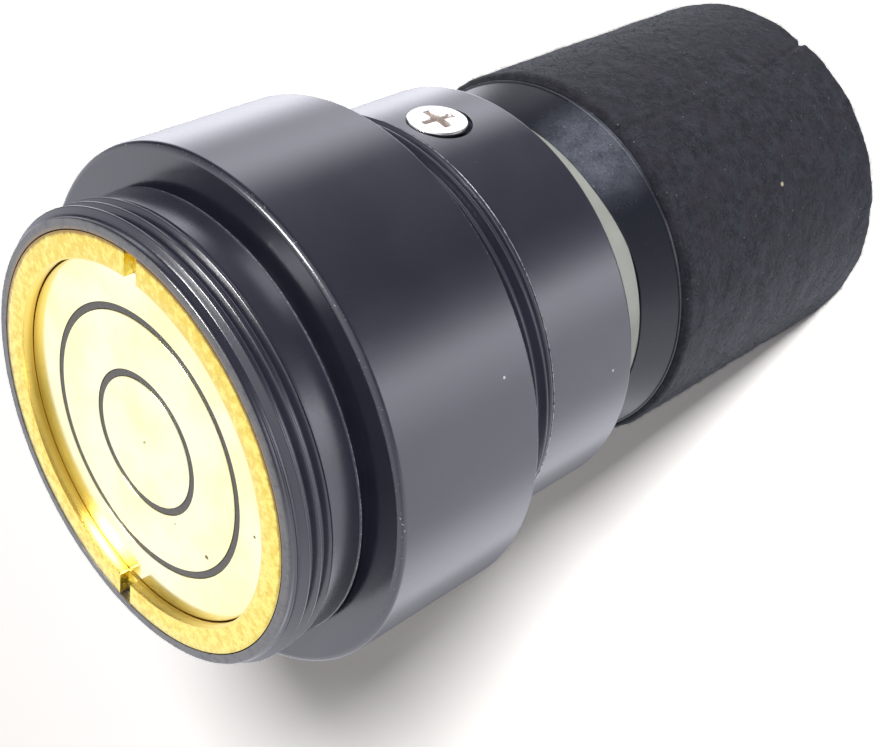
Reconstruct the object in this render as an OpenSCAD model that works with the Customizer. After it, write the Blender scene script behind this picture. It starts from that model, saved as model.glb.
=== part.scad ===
// Dynamic microphone capsule for a handheld transmitter
//
// The capsule stands on its sound inlet, with the contact end up.
// The axis is Z and the origin is the centre of the front cap's rim.
// The neck screw points along +X.

/* [Collar] */
// Outside diameter of the transmitter thread
thread_d = 31.4; // [31:0.1:33]
// Distance from crest to crest of the transmitter thread
thread_pitch = 0.88; // [0.8:0.01:1.1]
// Length of the transmitter thread from the rim
thread_len = 3.6; // [2.6:0.1:4.4]
// Length of the spigot from the rim to the band
spigot_len = 6.1; // [5.6:0.1:8]
// How far the plain land behind the thread lies below its crests
land_drop = 0.2; // [0.05:0.05:0.5]
// Width of the undercut at the foot of the spigot
undercut_w = 0.7; // [0.3:0.1:1]
// Depth of the undercut at the foot of the spigot
undercut_depth = 0.9; // [0.3:0.05:1]
// Chamfer at the start of both threads
start_chamfer = 0.35; // [0.1:0.05:0.5]
// Length from the start of a thread to its first crest's flank
thread_lead = 0.7; // [0.6:0.05:1]
// Diameter of the wide band
band_d = 36.4; // [34.5:0.1:42]
// Length of the wide band
band_len = 11.9; // [8:0.1:20]
// Edge radius of the wide band
band_edge = 0.45; // [0.1:0.05:1]
// Outside diameter of the grille thread
grille_thread_d = 31.8; // [31.6:0.1:33.5]
// Distance from crest to crest of the grille thread
grille_pitch = 1; // [0.8:0.01:1.2]
// Length of the grille thread
grille_thread_len = 4.5; // [3:0.1:8]
// Length of the tail that the neck sleeve slides over
tail_len = 5.4; // [4.8:0.1:6.2]
// Wall round the seat of the retaining ring and the contact board
rim_wall = 1.25; // [1.1:0.05:1.5]
// Width of the ledge that the contact board rests on
ledge_w = 2.45; // [1.9:0.05:3]

/* [Contact end] */
// Width of the retaining ring
ring_w = 1.9; // [1.2:0.1:2.6]
// Height of the retaining ring
ring_h = 1.4; // [1.2:0.1:2.4]
// How far the retaining ring lies below the rim
ring_recess = 0.15; // [0:0.05:0.5]
// Width of the spanner slots
slot_w = 1; // [0.5:0.1:3]
// Depth of the spanner slots
slot_depth = 0.7; // [0.3:0.05:1]
// Turn of the spanner slots from the neck screw
slot_turn = -3.5; // [-90:0.5:90]
// How far the pads lie below the face of the retaining ring
pad_drop = 0.84; // [0.7:0.02:0.9]
// Thickness of the contact pads
pad_t = 0.25; // [0.1:0.05:0.3]
// Diameter of the centre pad
centre_pad_d = 9.1; // [6:0.1:12]
// Width of the outer pad
outer_pad_w = 3; // [1.5:0.1:4.5]
// Width of the insulating rings between the pads
gap_w = 0.5; // [0.3:0.05:1]
// How far the insulating rings lie below the pads
gap_drop = 0.06; // [0.02:0.01:0.08]
// Thickness of the contact board's flange
board_t = 1.6; // [1:0.1:2.5]
// Diameter of the contact pins
pin_d = 0.8; // [0.5:0.1:1.5]
// Length of the contact pins behind the board
pin_len = 2.2; // [1:0.1:5]
// Diameter of the centre mark in the centre pad
centre_mark_d = 0.35; // [0.2:0.05:0.8]

/* [Neck] */
// Outside diameter of the neck sleeve
neck_d = 31.05; // [30.6:0.05:31.6]
// Length of the neck sleeve
neck_len = 8.2; // [7.8:0.1:12]
// Wall of the neck sleeve
neck_wall = 1.4; // [1.1:0.1:1.8]
// Edge radius at the cartridge end of the neck sleeve
neck_edge = 0.6; // [0.1:0.05:0.8]
// Thickness of the inward flange that grips the shock mount
flange_t = 1.4; // [0.8:0.1:1.5]

/* [Neck screw] */
// Head diameter of the countersunk screw
screw_head_d = 4.2; // [3.6:0.1:4.6]
// Shank diameter of the screw
screw_d = 2.5; // [2:0.1:2.8]
// Distance of the screw's axis from the grille thread
screw_from_thread = 2.55; // [2.4:0.05:2.9]
// Length of the screw from the top of its head
screw_len = 3.2; // [2.4:0.1:3.4]
// Span of the cross recess
cross_span = 2.4; // [1.8:0.1:2.8]
// Width of the arms of the cross recess
cross_w = 0.5; // [0.3:0.05:0.6]
// Depth of the cross recess
cross_depth = 0.9; // [0.5:0.05:1.2]

/* [Shock mount] */
// Height of the rubber shock mount between the neck sleeve and the rear cup
mount_h = 4.35; // [2:0.05:8]
// Wall of the rubber between the resonance tube and the neck's flange
mount_wall = 2; // [1.2:0.1:2.4]
// How far the rubber stands out past the flange's bore, between the neck sleeve and the rear cup
mount_step = 1.25; // [0.9:0.05:1.6]
// How far its lip stands out past the flange's bore, inside the neck sleeve
mount_lip_w = 0.9; // [0.5:0.1:1.4]

/* [Rear cup] */
// How far the rear cup's lip stands out past the housing
cup_lip_w = 0.35; // [0.1:0.05:0.7]
// Height of the straight lip
cup_lip_h = 0.35; // [0.2:0.05:1]
// How much the cone narrows on each side, from the lip to the shock mount
cup_cone_w = 1.35; // [0.5:0.05:2]
// Height of the cone between the lip and the shock mount
cup_cone_h = 2.8; // [1.5:0.1:6]
// Diameter of the resonance tube behind the cup
tube_d = 19; // [15:0.1:20]
// Length of the resonance tube
tube_len = 14; // [10:0.1:20]
// Wall of the rear cup
cup_wall = 1.2; // [0.8:0.1:1.5]
// Depth of the plug that holds the rear cup in the housing
plug_h = 2; // [1:0.1:2.5]

/* [Cartridge housing] */
// Outside diameter of the cartridge housing
housing_d = 27.8; // [27.6:0.1:28]
// Wall of the cartridge housing
housing_wall = 1.2; // [1:0.1:1.4]
// Length of the cartridge housing
housing_len = 23.35; // [20:0.05:40]
// Thickness of the web that carries the motor
web_t = 1.8; // [1.2:0.1:2.5]
// Number of vents in the web
vent_count = 6; // [3:1:10]
// Diameter of the vents in the web
vent_d = 1.9; // [1:0.1:2.2]

/* [Felt sleeve] */
// Thickness of the felt
felt_t = 0.75; // [0.4:0.05:1.5]
// Width of the lengthwise seam
seam_w = 0.2; // [0.1:0.05:1]
// Turn of the seam from the neck screw
seam_turn = -17; // [-90:1:90]
// Width of the notch where the seam ends
notch_w = 1.4; // [0.8:0.1:3]

/* [Front cap] */
// Height of the front cap's rim
cap_h = 2; // [1.9:0.1:3]
// Depth of the perforated plate behind the rim
cap_recess = 0.8; // [0.3:0.1:0.9]
// Thickness of the perforated plate
cap_plate_t = 1; // [0.6:0.1:1]
// Height of the spigot inside the housing
cap_spigot_h = 1.2; // [0.8:0.1:2]
// Diameter of the sound holes
sound_hole_d = 2.2; // [1:0.1:2.6]
// Hole circles round the centre hole
hole_rows = 2; // [1:1:2]
// Distance between the hole circles
hole_pitch = 4.3; // [3:0.1:4.5]

/* [Diaphragm and motor] */
// Thickness of the gauze disc
gauze_t = 0.3; // [0.2:0.05:0.3]
// Height of the clamp ring
clamp_h = 0.8; // [0.5:0.1:2]
// Width of the clamp ring
clamp_w = 1.3; // [1:0.1:1.4]
// Height of the ledge that the diaphragm is clamped against
ledge_h = 1; // [0.5:0.1:1.2]
// Thickness of the diaphragm
film_t = 0.2; // [0.1:0.05:0.3]
// Height of the dome in the diaphragm
dome_h = 1.2; // [0.6:0.1:1.2]
// Rise of the surround's roll
roll_h = 0.6; // [0.3:0.1:0.8]
// Mean diameter of the voice coil
coil_d = 12.4; // [11:0.1:13]
// Thickness of the voice coil
coil_t = 0.4; // [0.2:0.05:0.6]
// Height of the voice coil
coil_h = 3.8; // [2.5:0.1:5]
// Running gap on each side of the voice coil
coil_gap = 0.35; // [0.2:0.05:0.5]
// Height from the diaphragm to the pole piece
pole_lift = 1.3; // [1:0.1:2]
// Thickness of the pole piece
pole_t = 1.6; // [1:0.1:2.5]
// How much smaller the magnet is than the pole piece, all round
magnet_inset = 0.3; // [0.1:0.1:1]
// Height of the magnet
magnet_h = 5; // [4:0.1:9]
// Wall and floor of the yoke
yoke_t = 1.9; // [1.2:0.1:2.2]
// Width of the yoke's flange that seats on the web
yoke_flange_w = 0.8; // [0.5:0.1:0.8]
// Thickness of the yoke's flange
yoke_flange_t = 1.4; // [0.8:0.1:2]
// Thickness of the damping felt
damping_t = 0.8; // [0.3:0.1:1.5]
// Diameter of the terminal board
terminal_board_d = 14; // [10:0.1:16]
// Thickness of the terminal board
terminal_board_t = 1; // [0.6:0.1:2]
// Height of the solder tabs
tab_h = 2; // [1:0.1:4]

/* [Hidden] */
$fn = 96;

// Room between pieces that slide into each other
fit = 0.05;
// Overshoot of a cut past the face it opens
over = 1;
// Depth, flank and flat of a thread's crest, as shares of its pitch
crest_depth = 0.54;
crest_flank = 0.31;
crest_flat = 0.13;

// Heights along the axis, from the front cap's rim to the contact end
z_housing = cap_h;
z_lip = z_housing + housing_len;
z_cone = z_lip + cup_lip_h;
z_nose = z_cone + cup_cone_h;
z_neck = z_nose + mount_h;
z_thread = z_neck + neck_len;
z_band = z_thread + grille_thread_len;
z_shoulder = z_band + band_len;
z_rim = z_shoulder + spigot_len;
z_ring = z_rim - ring_recess;
z_board = z_ring - ring_h;
z_seat = z_board - board_t;
z_pads = z_ring - pad_drop;
z_tail = z_thread - tail_len;
z_screw = z_thread - screw_from_thread;

z_flange = z_neck + flange_t;

// Radii that several pieces share
seat_r = thread_d / 2 - rim_wall;
collar_bore_r = seat_r - ledge_w;
ring_inner_r = seat_r - ring_w;
outer_pad_inner_r = ring_inner_r - fit - outer_pad_w;
middle_pad_r = outer_pad_inner_r - gap_w;
middle_pad_inner_r = centre_pad_d / 2 + gap_w;
neck_inner_r = neck_d / 2 - neck_wall;
waist_r = tube_d / 2 + fit + mount_wall;
flange_inner_r = waist_r + fit;
cup_lip_r = housing_d / 2 + cup_lip_w;
cup_nose_r = cup_lip_r - cup_cone_w;
felt_r = housing_d / 2 + fit + felt_t;
housing_inner_r = housing_d / 2 - housing_wall;
coil_inner_r = (coil_d - coil_t) / 2;
coil_outer_r = (coil_d + coil_t) / 2;
pole_r = coil_inner_r - coil_gap;
yoke_inner_r = coil_outer_r + coil_gap;
yoke_r = yoke_inner_r + yoke_t;
clamp_inner_r = housing_inner_r - clamp_w;

// Countersunk head: its top meets the neck's round surface at its rim
head_sink = neck_d / 2 - sqrt(neck_d * neck_d - screw_head_d * screw_head_d) / 2;
head_rim_h = 0.15;
head_cone_h = (screw_head_d - screw_d) / 2;

// The felt stays this far above the surface that the front cap's rim stands on
felt_lift = 0.3;

// Heights of the diaphragm and the motor
z_clamp = z_housing + cap_spigot_h;
z_film = z_clamp + clamp_h;
z_ledge = z_film + film_t;
z_pole = z_ledge + pole_lift;
z_magnet = z_pole + pole_t;
z_yoke_floor = z_magnet + magnet_h;
z_web = z_pole + yoke_flange_t;
z_terminals = z_yoke_floor + yoke_t;

// Circles of the three contact pins, one under each pad
pin_circles = [0, (middle_pad_inner_r + middle_pad_r) / 2, outer_pad_inner_r + outer_pad_w / 2];

// Points of a round corner about a centre, between two angles
function corner(x, y, r, from, to, steps = 6) =
    [for (i = [0:steps]) let (a = from + (to - from) * i / steps) [x + r * cos(a), y + r * sin(a)]];

// How many whole crests fit on a length of thread
function crest_count(length, pitch) = floor((length - (2 * crest_flank + crest_flat) * pitch) / pitch) + 1;

// Points of a thread's crests, drawn as rings from the lowest up
function crests(r, pitch, low, count) =
    [for (i = [0:count - 1], step = [[0, crest_depth], [crest_flank, 0], [crest_flank + crest_flat, 0],
        [2 * crest_flank + crest_flat, crest_depth]])
        [r - step[1] * pitch, low + (i + step[0]) * pitch]];

// A solid turned from an outline of radius and height
module turned(outline) {
    rotate_extrude() polygon(outline);
}

// A plain ring between two heights
module ring(outer_r, inner_r, low, high) {
    turned([[inner_r, low], [outer_r, low], [outer_r, high], [inner_r, high]]);
}

// Collar: tail, grille thread, band, undercut, land, transmitter thread and the seat of the contacts
module body_ring() {
    tail_r = neck_inner_r - fit;
    land_r = thread_d / 2 - land_drop;
    root_r = thread_d / 2 - crest_depth * thread_pitch;
    count = crest_count(thread_len - thread_lead, thread_pitch);
    z_crests = z_rim - thread_lead - (count - 1 + 2 * crest_flank + crest_flat) * thread_pitch;
    grille_root_r = grille_thread_d / 2 - crest_depth * grille_pitch;
    color("#23242a") difference() {
        turned(concat(
            [[collar_bore_r, z_tail], [tail_r, z_tail], [tail_r, z_thread],
                [grille_root_r - start_chamfer, z_thread], [grille_root_r, z_thread + start_chamfer]],
            crests(grille_thread_d / 2, grille_pitch, z_thread + thread_lead,
                crest_count(grille_thread_len - thread_lead, grille_pitch)),
            [[grille_root_r, z_band]],
            corner(band_d / 2 - band_edge, z_band + band_edge, band_edge, -90, 0),
            corner(band_d / 2 - band_edge, z_shoulder - band_edge, band_edge, 0, 90),
            [[land_r - undercut_depth, z_shoulder], [land_r - undercut_depth, z_shoulder + undercut_w],
                [land_r, z_shoulder + undercut_w], [land_r, z_rim - thread_len],
                [root_r, z_rim - thread_len]],
            crests(thread_d / 2, thread_pitch, z_crests, count),
            [[root_r, z_rim - start_chamfer], [root_r - start_chamfer, z_rim], [seat_r, z_rim],
                [seat_r, z_seat], [collar_bore_r, z_seat]]));
        at_screw() translate([0, 0, -neck_d / 2 + collar_bore_r - over])
            cylinder(r = screw_d / 2 + fit, h = neck_inner_r - collar_bore_r + over);
    }
}

// Brass ring with two spanner slots that holds the contact board down
module retaining_ring() {
    color("#d9b13b") difference() {
        ring(seat_r - fit, ring_inner_r, z_board, z_ring);
        rotate(slot_turn) translate([-seat_r - over, -slot_w / 2, z_ring - slot_depth])
            cube([2 * seat_r + 2 * over, slot_w, slot_depth + over]);
    }
}

// Insulating board: a flange under the retaining ring, a boss and the two rings between the pads
module contact_board() {
    z_boss = z_pads - pad_t;
    color("#4c4944") difference() {
        union() {
            ring(seat_r - fit, 0, z_seat, z_board);
            ring(ring_inner_r - fit, 0, z_board, z_boss);
            for (r = [centre_pad_d / 2, middle_pad_r])
                ring(r + gap_w - fit, r + fit, z_boss, z_pads - gap_drop);
        }
        at_pins() translate([0, 0, z_seat - over])
            cylinder(d = pin_d + 2 * fit, h = z_pads - z_seat + 2 * over);
    }
}

// Contact pads: the centre one has a shallow mark in its middle
module pad(outer_r, inner_r) {
    color("#f2e6a8") ring(outer_r, inner_r, z_pads - pad_t, z_pads);
}

module centre_pad() {
    mark_depth = pad_t / 2;
    difference() {
        pad(centre_pad_d / 2, 0);
        translate([0, 0, z_pads - mark_depth]) cylinder(d = centre_mark_d, h = over);
    }
}

module middle_pad() {
    pad(middle_pad_r, middle_pad_inner_r);
}

module outer_pad() {
    pad(ring_inner_r - fit, outer_pad_inner_r);
}

// Places a shape on each pin's circle, a third of a turn apart
module at_pins() {
    for (i = [0:2]) rotate(i * 120) translate([pin_circles[i], 0, 0]) children();
}

// Pins that lead from the pads through the board
module contact_pins() {
    color("#c9a545") at_pins() translate([0, 0, z_seat - pin_len])
        cylinder(d = pin_d, h = z_pads - pad_t - z_seat + pin_len);
}

// Places a shape whose +Z points out of the neck along the screw, with its origin on the neck's surface
module at_screw() {
    translate([neck_d / 2, 0, z_screw]) rotate([0, 90, 0]) children();
}

// Neck sleeve with its inward flange and the countersunk hole
module neck_sleeve() {
    sink_r = screw_head_d / 2 + 2 * fit;
    hole_r = screw_d / 2 + 2 * fit;
    color("#26272d") difference() {
        turned(concat(
            [[flange_inner_r, z_flange], [flange_inner_r, z_neck]],
            corner(neck_d / 2 - neck_edge, z_neck + neck_edge, neck_edge, -90, 0),
            [[neck_d / 2, z_thread], [neck_inner_r, z_thread], [neck_inner_r, z_flange]]));
        at_screw() {
            translate([0, 0, -head_sink - head_rim_h]) cylinder(r = sink_r, h = over);
            translate([0, 0, -head_sink - head_rim_h - head_cone_h])
                cylinder(r1 = hole_r, r2 = sink_r, h = head_cone_h);
            translate([0, 0, -neck_wall - over]) cylinder(r = hole_r, h = neck_wall + over - head_sink);
        }
    }
}

// Countersunk screw with a cross recess and four short marks between its arms
module neck_screw() {
    mark_h = 0.08;
    color("#d9dadc") at_screw() translate([0, 0, -head_sink]) difference() {
        turned([[0, 0], [screw_head_d / 2, 0], [screw_head_d / 2, -head_rim_h],
            [screw_d / 2, -head_rim_h - head_cone_h], [screw_d / 2, -screw_len], [0, -screw_len]]);
        for (turn = [45, 135]) rotate(turn) cross_arms();
        for (turn = [0:90:270]) rotate(turn)
            translate([cross_span / 4, -mark_h / 2, -mark_h]) cube([cross_span / 4, mark_h, over]);
    }
}

// Two opposite arms of the recess, narrower at the bottom than at the top
module cross_arms() {
    top = cross_span / 2;
    bottom = cross_span / 5;
    rotate([90, 0, 0]) linear_extrude(cross_w, center = true)
        polygon([[-bottom, -cross_depth], [bottom, -cross_depth], [top, 0], [top, over], [-top, over],
            [-top, 0]]);
}

// Rubber shock mount: a collar round the tube, a waist in the neck's flange and a lip behind it
module shock_mount() {
    color("#aab0a4") turned([[tube_d / 2 + fit, z_nose], [waist_r + mount_step, z_nose],
        [waist_r + mount_step, z_neck], [waist_r, z_neck], [waist_r, z_flange],
        [waist_r + mount_lip_w, z_flange], [waist_r + mount_lip_w, z_tail], [tube_d / 2 + fit, z_tail]]);
}

// Rear cup: plug, lip, cone and the closed resonance tube
module rear_cup() {
    plug_r = housing_inner_r - fit;
    nose_edge = 0.3;
    color("#17181b") turned(concat(
        [[plug_r - cup_wall, z_lip - plug_h], [plug_r, z_lip - plug_h], [plug_r, z_lip],
            [cup_lip_r, z_lip], [cup_lip_r, z_cone],
            [cup_nose_r, z_nose - nose_edge], [cup_nose_r - nose_edge, z_nose],
            [tube_d / 2, z_nose], [tube_d / 2, z_nose + tube_len], [0, z_nose + tube_len],
            [0, z_nose + tube_len - cup_wall], [tube_d / 2 - cup_wall, z_nose + tube_len - cup_wall],
            [tube_d / 2 - cup_wall, z_nose - cup_wall], [plug_r - cup_wall, z_nose - cup_wall]]));
}

// Housing: a tube with the ledge for the diaphragm and the vented web for the motor
module housing() {
    web_inner_r = yoke_r + fit;
    vent_circle_r = (yoke_r + yoke_flange_w + housing_inner_r) / 2;
    color("#1b1c1f") difference() {
        turned([[housing_d / 2, z_housing], [housing_d / 2, z_lip], [housing_inner_r, z_lip],
            [housing_inner_r, z_web + web_t], [web_inner_r, z_web + web_t], [web_inner_r, z_web],
            [housing_inner_r, z_web], [housing_inner_r, z_ledge + ledge_h],
            [clamp_inner_r, z_ledge + ledge_h], [clamp_inner_r, z_ledge], [housing_inner_r, z_ledge],
            [housing_inner_r, z_housing]]);
        for (i = [0:vent_count - 1]) rotate(i * 360 / vent_count)
            translate([vent_circle_r, 0, z_web - over]) cylinder(d = vent_d, h = web_t + 2 * over);
    }
}

// Felt sleeve wrapped round the housing, with an open seam that ends in a notch
module felt_sleeve() {
    felt_edge = 0.3;
    color("#16171a") difference() {
        turned([[housing_d / 2 + fit, felt_lift], [felt_r - felt_edge, felt_lift],
            [felt_r, felt_lift + felt_edge], [felt_r, z_lip - felt_edge - fit],
            [felt_r - felt_edge, z_lip - fit], [housing_d / 2 + fit, z_lip - fit]]);
        rotate(seam_turn) {
            translate([0, -seam_w / 2, -over]) cube([felt_r + over, seam_w, z_lip + 2 * over]);
            rotate([90, 0, 90]) linear_extrude(felt_r + over)
                polygon([[-notch_w / 2, felt_lift - over], [notch_w / 2, felt_lift - over],
                    [notch_w / 2, felt_lift], [0, felt_lift + notch_w], [-notch_w / 2, felt_lift]]);
        }
    }
}

// Front cap: rim, perforated plate and the spigot that holds the clamp ring
module front_cap() {
    rim_edge = 0.3;
    rim_inner_r = housing_inner_r - fit;
    spigot_inner_r = clamp_inner_r;
    plate_top = cap_recess + cap_plate_t;
    color("#1d1e21") difference() {
        turned(concat(
            [[0, cap_recess], [rim_inner_r, cap_recess], [rim_inner_r, 0]],
            corner(housing_d / 2 - rim_edge, rim_edge, rim_edge, -90, 0),
            [[housing_d / 2, cap_h], [rim_inner_r, cap_h], [rim_inner_r, z_clamp],
                [spigot_inner_r, z_clamp], [spigot_inner_r, plate_top], [0, plate_top]]));
        sound_hole();
        for (row = [1:hole_rows], i = [0:6 * row - 1])
            rotate(i * 60 / row) translate([row * hole_pitch, 0, 0]) sound_hole();
    }
}

module sound_hole() {
    translate([0, 0, cap_recess - over]) cylinder(d = sound_hole_d, h = cap_plate_t + 2 * over);
}

// Gauze disc on the inside of the perforated plate
module front_gauze() {
    low = cap_recess + cap_plate_t;
    color("#303236") ring(clamp_inner_r - fit, 0, low, low + gauze_t);
}

// Ring that presses the diaphragm's rim against the ledge
module clamp_ring() {
    color("#8f9296") ring(housing_inner_r - fit, clamp_inner_r, z_clamp, z_film);
}

// Diaphragm: dome, flat seat of the coil, rolled surround and clamped rim
function dome_points(lift) = [for (i = [0:8]) let (x = i / 8)
    [x * (coil_inner_r - fit), z_film + lift - dome_h * (1 - x * x)]];
function roll_points(lift) = [for (i = [0:8]) let (x = i / 8)
    [coil_outer_r + fit + x * (clamp_inner_r - coil_outer_r - fit), z_film + lift - roll_h * sin(180 * x)]];
function reversed(list) = [for (i = [len(list) - 1:-1:0]) list[i]];

module diaphragm() {
    rim_r = housing_inner_r - fit;
    color("#d8d4c4") turned(concat(dome_points(0), roll_points(0), [[rim_r, z_film], [rim_r, z_ledge]],
        reversed(roll_points(film_t)), reversed(dome_points(film_t))));
}

module voice_coil() {
    color("#b5651d") ring(coil_outer_r, coil_inner_r, z_ledge, z_ledge + coil_h);
}

// Motor: the magnet stands between the pole piece and the floor of the yoke
module pole_piece() {
    color("#a9acb0") ring(pole_r, 0, z_pole, z_magnet);
}

module magnet() {
    color("#7d8086") ring(pole_r - magnet_inset, 0, z_magnet, z_yoke_floor);
}

module yoke() {
    flange_r = yoke_r + yoke_flange_w;
    color("#9a9da2") turned([[0, z_yoke_floor], [yoke_inner_r, z_yoke_floor], [yoke_inner_r, z_pole],
        [flange_r, z_pole], [flange_r, z_web], [yoke_r, z_web], [yoke_r, z_terminals], [0, z_terminals]]);
}

// Felt ring over the vents
module damping_disc() {
    color("#5c5a55") ring(housing_inner_r - fit, yoke_r + fit, z_web + web_t, z_web + web_t + damping_t);
}

module terminal_board() {
    color("#6b5a2e") ring(terminal_board_d / 2, 0, z_terminals, z_terminals + terminal_board_t);
}

// Two upright solder tabs on the terminal board
module terminal_tabs() {
    tab_w = terminal_board_d / 8;
    tab_t = 0.4;
    color("#cfd0d2") for (side = [-1, 1])
        translate([side * terminal_board_d / 4 - tab_t / 2, -tab_w / 2, z_terminals + terminal_board_t])
            cube([tab_t, tab_w, tab_h]);
}

body_ring();
retaining_ring();
contact_board();
centre_pad();
middle_pad();
outer_pad();
contact_pins();
neck_sleeve();
neck_screw();
shock_mount();
rear_cup();
housing();
felt_sleeve();
front_cap();
front_gauze();
clamp_ring();
diaphragm();
voice_coil();
pole_piece();
magnet();
yoke();
damping_disc();
terminal_board();
terminal_tabs();
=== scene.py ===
import math

import bpy
import numpy as np
from mathutils import Matrix, Vector, noise


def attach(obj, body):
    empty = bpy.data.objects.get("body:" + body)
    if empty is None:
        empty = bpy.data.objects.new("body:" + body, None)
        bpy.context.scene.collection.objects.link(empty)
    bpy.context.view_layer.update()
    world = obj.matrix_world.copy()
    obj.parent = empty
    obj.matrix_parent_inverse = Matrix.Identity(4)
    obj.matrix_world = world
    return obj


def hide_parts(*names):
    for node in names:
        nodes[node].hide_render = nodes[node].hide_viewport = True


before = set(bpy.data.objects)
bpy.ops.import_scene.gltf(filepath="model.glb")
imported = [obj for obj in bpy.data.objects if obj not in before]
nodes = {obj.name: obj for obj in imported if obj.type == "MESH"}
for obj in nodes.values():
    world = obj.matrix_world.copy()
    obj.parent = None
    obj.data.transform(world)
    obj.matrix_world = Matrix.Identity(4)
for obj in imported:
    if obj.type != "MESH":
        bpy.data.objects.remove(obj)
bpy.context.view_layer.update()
mm = 0.001
print("frame loaded:", len(nodes), "nodes")


# small helpers

class Socket:
    # a node's output that adds Math nodes when it is used in an expression
    def __init__(self, graph, socket):
        self.graph, self.socket = graph, socket

    def out(self, name):
        return Socket(self.graph, self.socket.node.outputs[name])

    def calc(self, operation, *others):
        return self.graph.maths(operation, self, *others)

    def __add__(self, other):
        return self.calc("ADD", other)

    def __sub__(self, other):
        return self.calc("SUBTRACT", other)

    def __rsub__(self, other):
        return self.graph.maths("SUBTRACT", other, self)

    def __mul__(self, other):
        return self.calc("MULTIPLY", other)

    def __truediv__(self, other):
        return self.calc("DIVIDE", other)

    def __pow__(self, other):
        return self.calc("POWER", other)

    def __gt__(self, other):
        return self.calc("GREATER_THAN", other)

    def __lt__(self, other):
        return self.calc("LESS_THAN", other)

    def least(self, other):
        return self.calc("MINIMUM", other)

    def most(self, other):
        return self.calc("MAXIMUM", other)

    def ramp(self, low, high, start=0.0, end=1.0):
        # smooth step from start to end while this goes from low to high
        return self.graph.node("ShaderNodeMapRange", {"interpolation_type": "SMOOTHSTEP"},
                               {0: self, 1: low, 2: high, 3: start, 4: end})

    __radd__ = __add__
    __rmul__ = __mul__


class Graph:
    # a node tree that is filled one node at a time
    def __init__(self, tree):
        self.tree = tree

    def node(self, kind, settings=None, values=None, out=0):
        made = self.tree.nodes.new(kind)
        for name, value in (settings or {}).items():
            if name == "stops":
                stops = made.color_ramp.elements
                while len(stops) < len(value):
                    stops.new(1.0)
                for stop, (place, colour) in zip(stops, value):
                    stop.position, stop.color = place, colour
            else:
                setattr(made, name, value)
        for key, value in (values or {}).items():
            if isinstance(value, Socket):
                self.tree.links.new(value.socket, made.inputs[key])
            else:
                made.inputs[key].default_value = value
        return Socket(self, made.outputs[out])

    def maths(self, operation, *terms):
        return self.node("ShaderNodeMath", {"operation": operation}, dict(enumerate(terms)))

    def mix(self, share, first, second):
        # mixes two colours
        full = [(*c, 1) if isinstance(c, tuple) and len(c) == 3 else c for c in (first, second)]
        return self.node("ShaderNodeMix", {"data_type": "RGBA"}, {0: share, 6: full[0], 7: full[1]}, out=2)

    def vector(self, operation, *terms, out=0):
        return self.node("ShaderNodeVectorMath", {"operation": operation}, dict(enumerate(terms)), out)

    def parts(self, vector):
        split = self.node("ShaderNodeSeparateXYZ", None, {0: vector})
        return split.out("X"), split.out("Y"), split.out("Z")

    def joined(self, x, y, z):
        return self.node("ShaderNodeCombineXYZ", None, {0: x, 1: y, 2: z})

    def finish(self, kind, source, place=0):
        # the tree's last node
        self.tree.links.new(source.socket, self.tree.nodes.new(kind).inputs[place])


class Finish(Graph):
    # a material with one Principled shader; places are Object coordinates in millimetres
    def __init__(self, name, **looks):
        self.material = bpy.data.materials.new(name)
        self.material.use_nodes = True
        super().__init__(self.material.node_tree)
        self.tree.nodes.clear()
        self.shader = self.node("ShaderNodeBsdfPrincipled").socket.node
        self.output = self.tree.nodes.new("ShaderNodeOutputMaterial")
        self.tree.links.new(self.shader.outputs[0], self.output.inputs["Surface"])
        self.place = self.vector("SCALE", self.node("ShaderNodeTexCoord").out("Object"))
        self.place.socket.node.inputs["Scale"].default_value = 1000.0
        self.x, self.y, self.z = self.parts(self.place)
        self.set(**looks)

    def set(self, **looks):
        for name, value in looks.items():
            socket = self.shader.inputs[name.replace("_", " ")]
            if isinstance(value, Socket):
                self.tree.links.new(value.socket, socket)
            else:
                full = (*value, 1) if isinstance(value, tuple) and len(value) == 3 else value
                socket.default_value = full
        return self

    def noise(self, scale, detail=2.0, roughness=0.5, stretch=None):
        # scale is in waves per millimetre
        spot = self.vector("MULTIPLY", self.place, stretch) if stretch else self.place
        return self.node("ShaderNodeTexNoise", None,
                         {"Vector": spot, "Scale": scale, "Detail": detail, "Roughness": roughness})

    def specks(self, scale, size, share, seed=0.0):
        # few small dots: size in millimetres, share of the cells that hold one
        spot = self.vector("ADD", self.place, (seed, seed * 0.7, -seed))
        cells = self.node("ShaderNodeTexVoronoi", None, {"Vector": spot, "Scale": scale})
        chance = self.node("ShaderNodeSeparateColor", None, {0: cells.out("Color")})
        return cells.ramp(size * scale, size * scale * 0.5) * (chance > 1 - share)

    def radius(self):
        return (self.x * self.x + self.y * self.y) ** 0.5

    def away(self, x, y, z, place=None):
        # distance from a point, in millimetres
        return self.vector("DISTANCE", place or self.place, (x, y, z), out=1)

    def attribute(self, name):
        return self.node("ShaderNodeAttribute", {"attribute_name": name}).out("Fac")

    def bump(self, height, strength=0.5, distance=0.02):
        # distance is in millimetres
        self.set(Normal=self.node("ShaderNodeBump", None,
                                  {"Strength": strength, "Distance": distance * mm, "Height": height}))


def addObject(name, data):
    made = bpy.data.objects.new(name, data)
    bpy.context.scene.collection.objects.link(made)
    return made


def storeValues(mesh, name, values):
    # one number at each point, read by a material or a node tree
    mesh.attributes.new(name, "FLOAT", "POINT").data.foreach_set("value", np.array(values, np.float32))


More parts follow.
